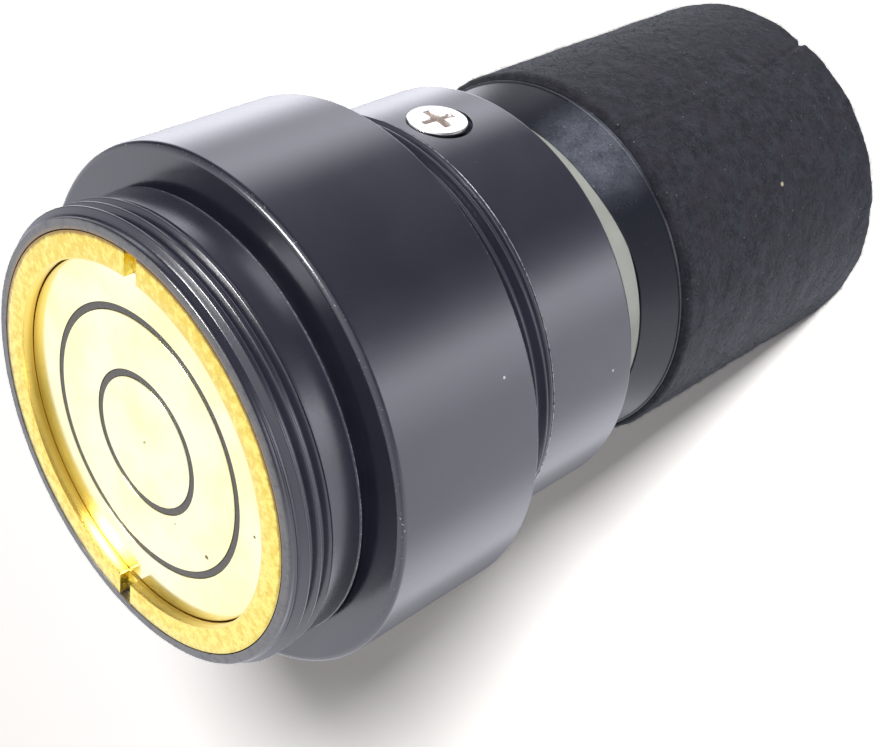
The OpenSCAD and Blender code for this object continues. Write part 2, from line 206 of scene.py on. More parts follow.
def rounded(points, steps=4, support=0.05):
    # rounds the corners of a closed outline of (radius, height, corner radius, wear), in millimetres;
    # support is how far past a rounded corner a point keeps the side flat
    made = []
    count = len(points)
    for i in range(count):
        here = points[i]
        corner = here[2] if len(here) > 2 else 0
        wear = here[3] if len(here) > 3 else 0
        p = np.array(here[:2], float)
        if corner <= 0:
            made.append((p[0], p[1], wear))
            continue
        a, b = np.array(points[i - 1][:2], float) - p, np.array(points[(i + 1) % count][:2], float) - p
        la, lb = np.linalg.norm(a), np.linalg.norm(b)
        a, b = a / la, b / lb
        half = math.acos(max(-1, min(1, float(a @ b)))) / 2
        cut = min(corner / math.tan(half), 0.45 * la, 0.45 * lb)
        r = cut * math.tan(half)
        middle = p + (a + b) / np.linalg.norm(a + b) * (r / math.sin(half))
        first, last = p + a * cut - middle, p + b * cut - middle
        if cut + support < 0.5 * la:
            made.append((*(p + a * (cut + support)), 0))
        turn = math.pi - 2 * half
        for k in range(steps + 1):
            share = k / steps
            arc = math.sin((1 - share) * turn) * first + math.sin(share * turn) * last
            made.append((*(middle + arc / math.sin(turn)), wear * math.sin(math.pi * share) ** 2))
        if cut + support < 0.5 * lb:
            made.append((*(p + b * (cut + support)), 0))
    return made


def revolve(name, outline, segments=256, closed=True, sharp=50):
    # turns an outline of (radius, height, wear) into a mesh; a radius of 0 is a pole
    rings, wear, spots = [], [], []
    angles = np.arange(segments) * 2 * math.pi / segments
    for r, z, w in outline:
        if r < 1e-6:
            rings.append([len(spots)])
            spots.append((0, 0, z))
            wear.append(w)
        else:
            start = len(spots)
            rings.append(list(range(start, start + segments)))
            spots += [(r * math.cos(t), r * math.sin(t), z) for t in angles]
            wear += [w] * segments
    faces = []
    for i in range(len(rings) if closed else len(rings) - 1):
        low, high = rings[i], rings[(i + 1) % len(rings)]
        if len(low) == 1 and len(high) == 1:
            continue
        for k in range(segments):
            n = (k + 1) % segments
            if len(low) == 1:
                faces.append((low[0], high[n], high[k]))
            elif len(high) == 1:
                faces.append((low[k], low[n], high[0]))
            else:
                faces.append((low[k], low[n], high[n], high[k]))
    return solid(name, spots, faces, wear, sharp)


def solid(name, spots, faces, wear=None, sharp=50):
    # makes an object from points in millimetres and turns its faces outwards
    points = np.array(spots, float)
    volume = 0.0
    for f in faces:
        a = points[f[0]]
        for j in range(1, len(f) - 1):
            volume += float(a @ np.cross(points[f[j]], points[f[j + 1]]))
    if volume < 0:
        faces = [tuple(reversed(f)) for f in faces]
    mesh = bpy.data.meshes.new(name)
    mesh.from_pydata([tuple(p) for p in points * mm], [], faces)
    if wear is not None:
        storeValues(mesh, "wear", wear)
    mesh.update()
    mesh.shade_smooth()
    mesh.set_sharp_from_angle(angle=math.radians(sharp))
    return addObject(name, mesh)


def baked(source, name):
    # the evaluated shape of an object as a plain mesh object; the source is removed
    bpy.context.view_layer.update()
    seen = source.evaluated_get(bpy.context.evaluated_depsgraph_get())
    mesh = bpy.data.meshes.new_from_object(seen)
    mesh.name = name
    made = addObject(name, mesh)
    bpy.data.objects.remove(source)
    return made


def cutAway(body, cutters, name, bevel=0.0, sharp=40):
    # subtracts the cutters, then breaks the sharp edges by a small bevel, in millimetres
    for cutter in cutters:
        cut = body.modifiers.new("cut", "BOOLEAN")
        cut.operation, cut.solver, cut.object = "DIFFERENCE", "EXACT", cutter
    if bevel:
        edge = body.modifiers.new("edge", "BEVEL")
        edge.width, edge.segments, edge.limit_method = bevel * mm, 2, "ANGLE"
        edge.angle_limit, edge.harden_normals = math.radians(sharp), False
    made = baked(body, name)
    for cutter in cutters:
        bpy.data.objects.remove(cutter)
    made.data.shade_smooth()
    made.data.set_sharp_from_angle(angle=math.radians(sharp))
    return made


def box(name, low, high):
    # a plain cutter box, corners in millimetres
    x0, y0, z0, x1, y1, z1 = *low, *high
    spots = [(x, y, z) for x in (x0, x1) for y in (y0, y1) for z in (z0, z1)]
    return solid(name, spots, [(0, 1, 3, 2), (4, 6, 7, 5), (0, 4, 5, 1), (2, 3, 7, 6), (0, 2, 6, 4),
                               (1, 5, 7, 3)])


def dress(piece, finish, *stoodFor, slot):
    # gives a piece its material and its place in the frame
    piece.data.materials.clear()
    piece.data.materials.append(finish.material)
    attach(piece, "root")
    if stoodFor:
        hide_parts(*stoodFor)
    return piece


# camera

camera = addObject("camera", bpy.data.cameras.new("camera"))
# place in millimetres, lens in millimetres on a sensor 36 mm wide
view = {"place": (62.873, -61.357, 106.838), "right": (0.10871, -0.69975, -0.70606),
        "up": (0.79703, 0.48583, -0.35877), "lens": 62.78}
right, up = Vector(view["right"]).normalized(), Vector(view["up"])
up = (up - right * up.dot(right)).normalized()
turn = Matrix((right, up, right.cross(up))).transposed().to_4x4()
camera.matrix_world = Matrix.Translation(Vector(view["place"]) * mm) @ turn
camera.data.lens, camera.data.sensor_width = view["lens"], 36
camera.data.clip_start, camera.data.clip_end = 0.005, 20
bpy.context.scene.camera = camera
print("camera placed")


# satin black coat of the collar and the neck

def satinBlack():
    look = {"colour": (0.0195, 0.0195, 0.034), "cloud": (0.0255, 0.0255, 0.042), "bare": (0.74, 0.74, 0.76),
            "rubbed": (0.135, 0.132, 0.13), "tintPatch": (0.36, 0.23, 0.07), "dust": (0.75, 0.75, 0.72),
            "roughness": 0.22, "grain": 6.0, "bits": ((8.435, -16.127, 47.82), (2.738, -15.358, 34.96))}
    f = Finish("satinBlack", IOR=1.75)
    grain = f.noise(look["grain"], 3, 0.65)
    cloud = f.noise(0.22, 3)
    # the coat is chipped along the worn edges
    wear = f.attribute("wear")
    edge = f.noise(4.5, 3, 0.7).ramp(0.66 - wear * 0.3, 0.76 - wear * 0.3) * (wear > 0.02)
    # fine dust everywhere and two larger bits
    dust = f.specks(0.8, 0.04, 0.035)
    for bit in look["bits"]:
        dust = dust.most(f.away(*bit).ramp(0.13, 0.06))
    colour = f.mix(cloud.ramp(0.3, 0.7), look["colour"], look["cloud"])
    # the rim round the brass is rubbed to a grey
    rubbed = f.z.ramp(63.3, 63.42) * f.noise(1.2, 4, 0.6).ramp(0.2, 0.6)
    colour = f.mix(rubbed, colour, look["rubbed"])
    # painted shade: brown on the rim's inner edge next to the brass, on the side of the screw, stands for the
    # shaded gap between the rim and the brass ring
    tintPatch = f.radius().ramp(14.75, 14.5) * f.z.ramp(63.1, 63.3) * f.x.ramp(1, 8)
    colour = f.mix(tintPatch * f.noise(1.5, 3).ramp(0.3, 0.5) * 0.9, colour, look["tintPatch"])
    colour = f.mix(dust * 0.8, colour, look["dust"])
    f.set(Base_Color=f.mix(edge * 0.7, colour, look["bare"]), Metallic=edge * 0.7,
          Roughness=look["roughness"] + (grain - 0.5) * 0.16 + (cloud - 0.5) * 0.06)
    f.bump(grain, 0.22, 0.012)
    return f


black = satinBlack()


# collar: a turned blank with two real threads

# sizes in millimetres; flat and root are steps of one turn that the crest and the root take up,
# hold is the share of the run-out that stays plain
collarSizes = {
    "segments": 320, "rows": 24,   # steps round the collar and steps in one turn of thread
    "front": {"crest": 15.65, "depth": 0.48, "pitch": 0.88, "low": 59.95, "high": 63.15, "land": 15.46,
              "runOut": 0.75, "hold": 0.5, "start": -0.145, "flat": 3, "root": 5},
    "rear": {"crest": 15.9, "depth": 0.55, "pitch": 1.0, "low": 41.05, "high": 45.3, "land": 15.54,
             "runOut": 0.42, "hold": 0.0, "start": -0.86, "flat": 2, "root": 5},
    "band": 18.2, "bandLow": 45.48, "bandHigh": 57.45, "relief": 15.15,
    "undercut": 14.55, "lip": 15.53, "lipLow": 58.1, "lipHigh": 58.27,
    "rim": 63.43, "rimOuter": 15.14, "seat": 14.45, "seatLow": 60.4,
    "bore": 12.0, "tube": 14.15, "tubeLow": 35.65,
}
# inputs of the thread's tree and the sizes that go into them
threadInputs = {"Crest": "crest", "Depth": "depth", "Pitch": "pitch", "Low": "low", "High": "high",
                "Land": "land", "Run Out": "runOut", "Hold": "hold", "Start": "start", "Flat": "flat",
                "Root": "root"}


def startTree(name, inputs, result):
    # a Geometry Nodes tree with named inputs and one shape as its result
    tree = bpy.data.node_groups.new(name, "GeometryNodeTree")
    for label, kind in inputs:
        tree.interface.new_socket(label, in_out="INPUT", socket_type=f"NodeSocket{kind}")
    tree.interface.new_socket(result, in_out="OUTPUT", socket_type="NodeSocketGeometry")
    g = Graph(tree)
    return g, g.node("NodeGroupInput")


def threadTree():
    # a strip round the axis whose rows climb one pitch per turn, so its crests are a right-handed helix
    ends = ("Front", "Rear")
    sizes = [(f"{end} {size}", "Float") for end in ends for size in threadInputs]
    inputs = [("Blank", "Geometry"), ("Segments", "Int"), ("Rows", "Int"), *sizes, ("Coat", "Material")]
    g, given = startTree("threadStrips", inputs, "Collar")
    joined = g.node("GeometryNodeJoinGeometry", None, {0: given.out("Blank")})
    rows = given.out("Rows")
    for end in ends:
        crest, depth, pitch, low, high, land, runOut, hold, start, flat, root = (
            given.out(f"{end} {size}") for size in threadInputs)
        turns = ((high - low) / pitch).calc("CEIL") + 2
        grid = g.node("GeometryNodeMeshGrid", None, {
            "Size X": 1.0, "Size Y": 1.0, "Vertices X": given.out("Segments") + 1,
            "Vertices Y": turns * rows + 1})
        across, up = g.parts(g.node("GeometryNodeInputPosition"))[:2]
        around, step = across + 0.5, ((up + 0.5) * turns * rows).calc("ROUND")
        height = g.node("ShaderNodeClamp", None,
                        {0: low + pitch * (step / rows - 1 + around + start), 1: low, 2: high})
        # flat crest first, then flank, root and flank again, in steps of the turn
        phase = step.calc("MODULO", rows)
        flank = (rows - flat - root) / 2
        groove = ((phase - flat).least(rows - phase) / flank).least(1).most(0)
        angle = around * (2 * math.pi)
        cosine, sine = angle.calc("COSINE"), angle.calc("SINE")
        # the thread fades in over an uneven run-out and out again at its other end
        spot = g.joined(cosine * 3, sine * 3, 0.0)
        wave = g.node("ShaderNodeTexNoise", None, {"Vector": spot, "Scale": 4.0, "Detail": 3.0}) - 0.5
        full = (height - low + wave * 0.12).ramp(runOut * hold, runOut)
        lead = (high - height).ramp(0.05, 0.5)
        bottom = crest - depth
        radius = bottom + (crest - depth * groove - bottom) * lead
        radius = land + (radius - land) * full
        place = g.joined(radius * cosine * mm, radius * sine * mm, height * mm)
        strip = g.node("GeometryNodeSetPosition", None, {"Geometry": grid, "Position": place})
        corner = (phase - flat).calc("ABSOLUTE")
        worn = g.node("GeometryNodeStoreNamedAttribute", {"data_type": "FLOAT", "domain": "POINT"},
                      {"Geometry": strip, "Name": "wear", "Value": (corner < 0.5) * lead * 0.3})
        g.tree.links.new(worn.socket, joined.socket.node.inputs[0])
    merged = g.node("GeometryNodeMergeByDistance", None, {"Geometry": joined, "Distance": 2e-6})
    smooth = g.node("GeometryNodeSetShadeSmooth", None, {"Geometry": merged})
    plain = g.node("GeometryNodeRealizeInstances", None, {"Geometry": smooth})
    g.finish("NodeGroupOutput",
             g.node("GeometryNodeSetMaterial", None, {"Geometry": plain, "Material": given.out("Coat")}))
    return g.tree


def setInputs(modifier, values):
    # inputs are set by the socket's identifier
    ids = {s.name: s.identifier for s in modifier.node_group.interface.items_tree
           if s.item_type == "SOCKET" and s.in_out == "INPUT"}
    for name, value in values.items():
        modifier[ids[name]] = value


def makeCollar():
    s, front, rear = collarSizes, collarSizes["front"], collarSizes["rear"]
    upper = rounded([(rear["crest"] - rear["depth"], rear["high"]), (s["relief"], s["bandLow"] - 0.08),
                     (s["relief"], s["bandLow"], 0.06), (s["band"], s["bandLow"], 0.1, 0.85),
                     (s["band"], s["bandHigh"], 0.42, 0.12), (s["undercut"], s["bandHigh"], 0.1),
                     (s["undercut"], s["lipLow"], 0.1), (s["lip"], s["lipLow"], 0.03),
                     (s["lip"], s["lipHigh"] - 0.08, 0.05, 0.8), (front["land"], s["lipHigh"], 0.03),
                     (front["land"], front["low"])])
    lower = rounded([(front["crest"] - front["depth"], front["high"]), (s["rimOuter"], s["rim"], 0.22),
                     (s["seat"], s["rim"], 0.04), (s["seat"], s["seatLow"]), (s["bore"], s["seatLow"]),
                     (s["bore"], s["tubeLow"]), (s["tube"], s["tubeLow"]), (s["tube"], rear["low"]),
                     (rear["land"], rear["low"])])
    n = s["segments"]
    circle = [(math.cos(2 * math.pi * k / n), math.sin(2 * math.pi * k / n)) for k in range(n)]
    spots, faces, wear = [], [], []
    for chain in (upper, lower):
        start = len(spots)
        for r, z, w in chain:
            spots += [(r * c * mm, r * t * mm, z * mm) for c, t in circle]
            wear += [w] * n
        for i in range(len(chain) - 1):
            for k in range(n):
                a, b = start + i * n + k, start + i * n + (k + 1) % n
                faces.append((a, b, b + n, a + n))
    mesh = bpy.data.meshes.new("collarBlank")
    mesh.from_pydata(spots, [], faces)
    storeValues(mesh, "wear", wear)
    mesh.update()
    blank = addObject("collarBlank", mesh)
    cut = blank.modifiers.new("threads", "NODES")
    cut.node_group = threadTree()
    values = {"Segments": n, "Rows": s["rows"], "Coat": black.material}
    for end, sizes in (("Front", front), ("Rear", rear)):
        values |= {f"{end} {label}": float(sizes[key]) for label, key in threadInputs.items()}
    setInputs(cut, values)
    made = baked(blank, "collar")
    made.data.set_sharp_from_angle(angle=math.radians(70))
    return dress(made, black, "body_ring", slot="satin_black")


collar = makeCollar()
print("collar made:", len(collar.data.polygons), "faces")


# neck sleeve and its screw

neckSizes = {
    "outer": 15.6, "inner": 14.2, "low": 32.85, "high": 41.05, "flange": 34.25, "flangeBore": 11.6,
    # the screw's place, its countersink and the bore below it, from the neck's surface
    "screwHeight": 38.1, "screwTurn": 1.4, "hole": 2.28, "holeBore": 1.4, "coneTop": 0.35, "coneFoot": 1.25,
    "holeEnd": 3.4, "proud": 0.08,
}


def screwPlace():
    # where the head's top lies on the neck, its axis along the radius
    s = neckSizes
    turned = Matrix.Rotation(math.radians(s["screwTurn"]), 4, "Z")
    outwards = Matrix.Translation(((s["outer"] + s["proud"]) * mm, 0, s["screwHeight"] * mm))
    return turned @ outwards @ Matrix.Rotation(math.pi / 2, 4, "Y")


def makeNeck():
    s = neckSizes
    outline = rounded([(s["flangeBore"], s["flange"]), (s["flangeBore"], s["low"], 0.1),
                       (s["outer"], s["low"], 0.25), (s["outer"], s["high"], 0.07, 1.0),
                       (s["inner"], s["high"]), (s["inner"], s["flange"])], steps=6)
    neck = revolve("neckBlank", outline, 320)
    # the countersink stays a little wider than the head
    above = 1.2
    cone = [(0, above, 0), (s["hole"], above, 0), (s["hole"], -s["coneTop"], 0),
            (s["holeBore"], -s["coneFoot"], 0), (s["holeBore"], -s["holeEnd"], 0), (0, -s["holeEnd"], 0)]
    cutter = revolve("countersink", cone, 64, closed=False)
    cutter.data.transform(screwPlace())
    made = cutAway(neck, [cutter], "neck", 0, 40)
    return dress(made, black, "neck_sleeve", slot="satin_black")


neck = makeNeck()
print("neck made:", len(neck.data.polygons), "faces")


def brightPlate():
    look = {"colour": (0.84, 0.83, 0.79), "tintPatch": (0.68, 0.64, 0.55), "recessShade": (0.34, 0.26, 0.23),
            "roughness": 0.2}
    f = Finish("brightPlate")
    scratch = f.noise(9, 3, 0.6)
    tintPatch = f.noise(1.6, 3, 0.6).ramp(0.5, 0.75)
    # painted shade in the recess: below the head's top and round the screw's axis the metal is dark, less
    # metallic and rougher
    across = f.away(0.0, 0.5, 38.19, f.vector("MULTIPLY", f.place, (0.0, 1.0, 1.0)))
    deep = f.x.ramp(15.67, 15.56) * across.ramp(1.6, 1.5) * (f.radius() > 14)
    colour = f.mix(tintPatch, look["colour"], look["tintPatch"])
    f.set(Base_Color=f.mix(deep * (0.35 + scratch), colour, look["recessShade"]),
          Metallic=1 - deep * 0.75,
          Roughness=look["roughness"] + (scratch - 0.5) * 0.2 + deep * 0.35)
    f.bump(scratch, 0.3, 0.01)
    return f


bright = brightPlate()
screwSizes = {"head": 2.1, "rim": 0.2, "cone": 0.95, "shank": 1.25, "length": 3.5, "crown": 0.12,
              # the cross: half its span at the bottom is span / narrow, and its arms get thinner by taper
              "span": 2.95, "narrow": 3.6, "arm": 0.72, "taper": 0.7, "depth": 0.7, "turn": -8,
              "aside": (-0.09, 0.12)}


def makeScrew():
    s = screwSizes
    crown = [(r, s["crown"] * share, 0) for r, share in ((0, 1.0), (0.7, 0.9), (1.4, 0.6), (1.85, 0.3))]
    outline = [*crown, (s["head"] - 0.06, 0.03, 0), (s["head"], -0.03, 0), (s["head"], -s["rim"], 0),
               (s["shank"], -s["rim"] - s["cone"], 0), (s["shank"], -s["length"], 0), (0, -s["length"], 0)]
    screw = revolve("screwBlank", outline, 96, closed=False)
    half, low, above = s["span"] / 2, s["span"] / s["narrow"], 0.35
    cutters = []
    for turnBy in (s["turn"], s["turn"] + 90):
        spots = []
        for x, z in ((-low, -s["depth"]), (low, -s["depth"]), (half, above), (-half, above)):
            w = s["arm"] / 2 * (s["taper"] if z < 0 else 1.0)
            spots += [(x, -w, z), (x, w, z)]
        faces = [(0, 1, 3, 2), (2, 3, 5, 4), (4, 5, 7, 6), (6, 7, 1, 0), (0, 2, 4, 6), (1, 7, 5, 3)]
        cutter = solid("arm", spots, faces)
        cutter.data.transform(Matrix.Rotation(math.radians(turnBy), 4, "Z"))
        cutters.append(cutter)
    made = cutAway(screw, cutters, "screw", 0.03, 40)
    # the head lies a little off the middle of its hole
    made.data.transform(screwPlace() @ Matrix.Translation((s["aside"][0] * mm, s["aside"][1] * mm, 0)))
    return dress(made, bright, "neck_screw", slot="bright_screw")


makeScrew()
print("screw made")


# brass ring

def tarnishedBrass():
    look = {"colour": (0.88, 0.755, 0.19), "dull": (0.77, 0.57, 0.1), "brown": (0.3, 0.18, 0.05),
            "wall": (0.88, 0.66, 0.2), "foot": (0.6, 0.4, 0.09)}
    f = Finish("tarnishedBrass", Metallic=1.0)
    mottle = f.noise(1.5, 5, 0.7)
    fine = f.noise(9, 3, 0.6)
    spots = f.specks(1.4, 0.12, 0.16, 3)
    # painted shade: the outer edge is brown, most on the side of the screw, for the shaded gap between the
    # ring and the collar's rim
    rim = (f.radius() + (mottle - 0.5) * 0.3).ramp(14.05, 14.3) * f.x.ramp(-9, 6, 0.2, 1.0)
    colour = f.mix((mottle + f.x.ramp(0, 12) * 0.05).ramp(0.42, 0.62), look["colour"], look["dull"])
    # the inner wall is smoother, and darker towards its foot
    wall = f.radius().ramp(12.68, 12.6)
    colour = f.mix(wall, colour, f.mix(f.z.ramp(63.15, 62.65), look["wall"], look["foot"]))
    colour = f.mix(spots * 0.35, colour, look["brown"])
    colour = f.mix(rim * 0.95, colour, look["brown"])
    f.set(Base_Color=colour, Roughness=0.16 + mottle * 0.16 + (fine - 0.5) * 0.1 - wall * 0.08)
    f.bump(fine, 0.3, 0.012)
    return f


brass = tarnishedBrass()
ringSizes = {"outer": 14.38, "inner": 12.55, "low": 62.0, "high": 63.4, "slotWidth": 1.15, "slotDepth": 0.7,
             "slotTurn": -2.2, "slotAside": 0.68, "edge": 0.07}


def makeRing():
    s = ringSizes
    ring = revolve("ringBlank", [(s["inner"], s["low"], 0), (s["outer"], s["low"], 0),
                                 (s["outer"], s["high"], 0), (s["inner"], s["high"], 0)], 240)
    # a small turn keeps the ring's own edges off the cutter's sides
    ring.data.transform(Matrix.Rotation(math.radians(0.4), 4, "Z"))
    half, aside, reach = s["slotWidth"] / 2, s["slotAside"], 20
    cutter = box("slots", (-reach, aside - half, s["high"] - s["slotDepth"]),
                 (reach, aside + half, s["high"] + 2))
    cutter.data.transform(Matrix.Rotation(math.radians(s["slotTurn"]), 4, "Z"))
    made = cutAway(ring, [cutter], "brass_ring", s["edge"], 40)
    return dress(made, brass, "retaining_ring", slot="brass")


makeRing()
print("brass ring made")


# contact pads and the board between them

padSizes = {"top": 62.56, "thick": 0.25, "edge": 0.05, "centre": 4.55, "middle": (5.05, 9.0),
            "outer": (9.5, 12.5)}


def paleGold():
    look = {"colour": (0.93, 0.875, 0.44), "cream": (0.94, 0.90, 0.59), "mark": (0.16, 0.12, 0.03),
            "roughness": 0.17,
            # small marks on the face, as (x, y, radius)
            "marks": ((0, 0, 0.16), (-5.06, -6.49, 0.2), (-0.04, -10.95, 0.13), (-4.6, -3.2, 0.07))}
    f = Finish("paleGold", Metallic=1.0)
    cloud = f.noise(0.16, 3)
    fine = f.noise(7, 3, 0.6)
    lines = f.noise(1.4, 3, 0.6, stretch=(1.0, 0.06, 1.0))
    colour = f.mix(cloud.ramp(0.35, 0.68), look["cream"], look["colour"])
    for x, y, size in look["marks"]:
        spot = f.away(x, y, padSizes["top"]) + (fine - 0.5) * 0.25
        colour = f.mix(spot.ramp(size, size * 0.6), colour, look["mark"])
    f.set(Base_Color=colour, Roughness=look["roughness"] + (cloud - 0.5) * 0.1 + (lines - 0.5) * 0.06)
    f.bump(fine * 0.5 + lines, 0.12, 0.01)
    return f


gold = paleGold()


def makePads():
    s = padSizes
    low, top, e = s["top"] - s["thick"], s["top"], s["edge"]
    # the centre pad has a small pit in its middle
    r = s["centre"]
    centre = [(0, low, 0), (r, low, 0), (r, top - e, 0), (r - e * 0.3, top - e * 0.3, 0), (r - e, top, 0),
              (r - 0.2, top, 0), (0.3, top, 0), (0.17, top, 0), (0.15, top - 0.03, 0), (0.12, top - 0.1, 0),
              (0, top - 0.11, 0)]
    dress(revolve("pad_centre", centre, 160, closed=False), gold, "centre_pad", slot="gold_plate")
    for name, node, (inner, outer) in (("pad_middle", "middle_pad", s["middle"]),
                                       ("pad_outer", "outer_pad", s["outer"])):
        outline = rounded([(inner, low), (outer, low), (outer, top, e), (inner, top, e)], 3, 0.1)
        dress(revolve(name, outline, 240), gold, node, slot="gold_plate")


makePads()


def boardLacquer():
    f = Finish("boardLacquer", Roughness=0.42)
    grain = f.noise(4, 4, 0.6)
    f.set(Base_Color=f.mix(grain.ramp(0.3, 0.7), (0.085, 0.078, 0.07), (0.13, 0.12, 0.105)))
    f.bump(grain, 0.2, 0.02)
    return f


boardFinish = boardLacquer()


boardSizes = {"outer": 14.38, "low": 60.4, "flange": 62.0, "boss": 62.31, "ridge": 62.49,
              # the ridges that part the pads, inner and outer radius
              "ridges": ((4.59, 5.01), (9.04, 9.46)), "bossOuter": 12.49}


def makeBoard():
    s = boardSizes
    outline = [(0, s["low"]), (s["outer"], s["low"]), (s["outer"], s["flange"]),
               (s["bossOuter"], s["flange"]), (s["bossOuter"], s["boss"])]
    for inner, outer in reversed(s["ridges"]):
        outline += [(outer, s["boss"]), (outer, s["ridge"]), (inner, s["ridge"]), (inner, s["boss"])]
    outline.append((0, s["boss"]))
    board = revolve("board", [(r, z, 0) for r, z in outline], 240, closed=False, sharp=30)
    return dress(board, boardFinish, "contact_board", slot="board")


makeBoard()
print("contacts made")


# rubber mount and rear cup

def paleRubber():
    f = Finish("paleRubber", Roughness=0.5, IOR=1.45)
    grain = f.noise(3, 4, 0.6)
    cloud = f.noise(0.3, 2)
    f.set(Base_Color=f.mix(cloud.ramp(0.3, 0.7), (0.325, 0.34, 0.315), (0.39, 0.405, 0.375)))
    f.bump(grain, 0.2, 0.03)
    return f


rubber = paleRubber()


mountSizes = {"bore": 9.56, "low": 28.52, "high": 35.63, "collar": 12.8, "collarHigh": 32.83,
              "groove": 11.55, "grooveHigh": 34.27, "bead": 12.45}


def makeMount():
    s = mountSizes
    outline = rounded([(s["bore"], s["low"]), (s["collar"], s["low"], 0.04),
                       (s["collar"], s["collarHigh"], 0.12), (s["groove"], s["collarHigh"]),
                       (s["groove"], s["grooveHigh"]), (s["bead"], s["grooveHigh"], 0.15),
                       (s["bead"], s["high"], 0.15), (s["bore"], s["high"])])
    return dress(revolve("rubber_mount", outline, 240), rubber, "shock_mount", slot="pale_rubber")


makeMount()


def cupBlack():
    f = Finish("cupBlack", IOR=1.5)
    look = {"colour": (0.014, 0.016, 0.024), "dust": (0.15, 0.165, 0.21), "lint": (0.5, 0.52, 0.55),
            "dustAndHighlightCentre": (12.4, -4.8, 27.2)}
    # most of the dust lies round one place of the cone, on the camera's side, and its bluish patch there is
    # also a painted highlight
    dustAndHighlight = f.away(*look["dustAndHighlightCentre"]).ramp(5.4, 1.2)
    cloud = f.noise(0.7, 3, 0.6).ramp(0.3, 0.65)
    dust = (f.noise(5, 8, 0.85).ramp(0.25, 0.85) * 1.05 + cloud * 0.3) * dustAndHighlight
    fine = f.noise(12, 2)
    lint = f.specks(2.6, 0.045, 0.5, 7) * (dustAndHighlight * 0.9 + 0.1)
    grit = f.specks(6, 0.035, 0.4, 11) * dustAndHighlight
    edge = f.attribute("wear") * f.noise(3, 3, 0.6).ramp(0.35, 0.6)
    colour = f.mix(dust.least(1), look["colour"], look["dust"])
    colour = f.mix(lint * 0.8 + grit * 0.4 + edge * 0.06, colour, look["lint"])
    f.set(Base_Color=colour, Roughness=0.26 + dust * 0.3)
    f.bump(fine, 0.12, 0.01)
    return f


cupFinish = cupBlack()


cupSizes = {"foot": 23.35, "footInner": 11.45, "footOuter": 12.65, "lip": 25.35, "lipOuter": 14.25,
            "cone": 25.7, "nose": 28.5, "noseOuter": 12.9, "tube": 9.5, "tubeInner": 8.3, "tubeHigh": 42.5,
            "wall": 1.2,
            # the nose's uneven edge: lifts in millimetres, as (lift, azimuth, half width, power)
            "lifts": ((0.8, -14, 32, 3), (-0.12, -62, 12, 2))}


def makeCup():
    s = cupSizes
    outer = rounded([(s["footInner"], s["foot"]), (s["footOuter"], s["foot"]), (s["footOuter"], s["lip"]),
                     (s["lipOuter"], s["lip"], 0.05), (s["lipOuter"], s["cone"], 0.07, 1),
                     (s["lipOuter"] - 0.13, s["cone"] + 0.02), (s["noseOuter"], s["nose"], 0.05),
                     (s["tube"], s["nose"]), (s["tube"], s["tubeHigh"], 0.5), (0, s["tubeHigh"])])
    ceiling, shelf = s["tubeHigh"] - s["wall"], s["nose"] - s["wall"]
    inside = [(0, ceiling, 0), (s["tubeInner"], ceiling, 0), (s["tubeInner"], shelf, 0),
              (s["footInner"], shelf, 0)]
    cup = revolve("rear_cup_shell", [*outer, *inside], 240, closed=False, sharp=40)
    for vertex in cup.data.vertices:
        x, y, z = vertex.co / mm
        turn = math.degrees(math.atan2(y, x))
        if math.hypot(x, y) > s["noseOuter"] - 0.5 and z > s["nose"] - 0.4:
            lifts = [high * math.exp(-abs((turn - at) / wide) ** power)
                     for high, at, wide, power in s["lifts"]]
            vertex.co.z += sum(lifts) * mm
    return dress(cup, cupFinish, "rear_cup", slot="cup_plastic")


makeCup()
print("rubber and cup made")


# felt sleeve

feltSizes = {
    "inner": 13.96, "outer": 14.72, "low": 0.35, "high": 25.28, "columns": 420, "rows": 90,
    # the seam: azimuth and lean in degrees, and the step between the two ends of the sheet at its lower edge
    "seam": -17.0, "drift": -4.5, "step": 0.45, "crowd": 0.517,
    "bit": (8.42, -12.09, 12.4),   # a pale crumb
    # fibres per square millimetre, their length and half thickness
    "fibres": 6.8, "fibreLength": 0.28, "fibreThick": 0.009,
}


def feltBlack():
    look = {"dark": (0.0100, 0.0116, 0.0165), "light": (0.029, 0.032, 0.043), "fibre": (0.055, 0.060, 0.075),
            "warm": (0.030, 0.021, 0.033), "lint": (0.28, 0.30, 0.33), "bit": (0.5, 0.45, 0.34)}
    f = Finish("feltBlack", Roughness=0.95, Specular_IOR_Level=0.45, IOR=1.4, Sheen_Weight=0.22,
               Sheen_Roughness=0.5, Sheen_Tint=(0.78, 0.84, 0.95))
    clump = f.noise(1.1, 4, 0.65)
    fine = f.noise(4.5, 3, 0.7)
    lint = f.specks(1.2, 0.085, 0.5, 5)
    warm = f.noise(0.45, 2).ramp(0.45, 0.65)
    colour = f.mix(clump.ramp(0.35, 0.7), look["dark"], look["light"])
    colour = f.mix(fine.ramp(0.5, 0.7) * 0.6, colour, look["fibre"])
    colour = f.mix(warm * 0.45, colour, look["warm"])
    colour = f.mix(lint * 0.5, colour, look["lint"])
    f.set(Base_Color=f.mix(f.away(*feltSizes["bit"]).ramp(0.24, 0.1), colour, look["bit"]))
    f.bump(fine + clump * 0.7, 0.7, 0.09)
    return f


felt = feltBlack()


def ripple(x, y, z, scale, seed):
    return noise.noise(Vector((x * scale + seed, y * scale - seed, z * scale + 2 * seed)))


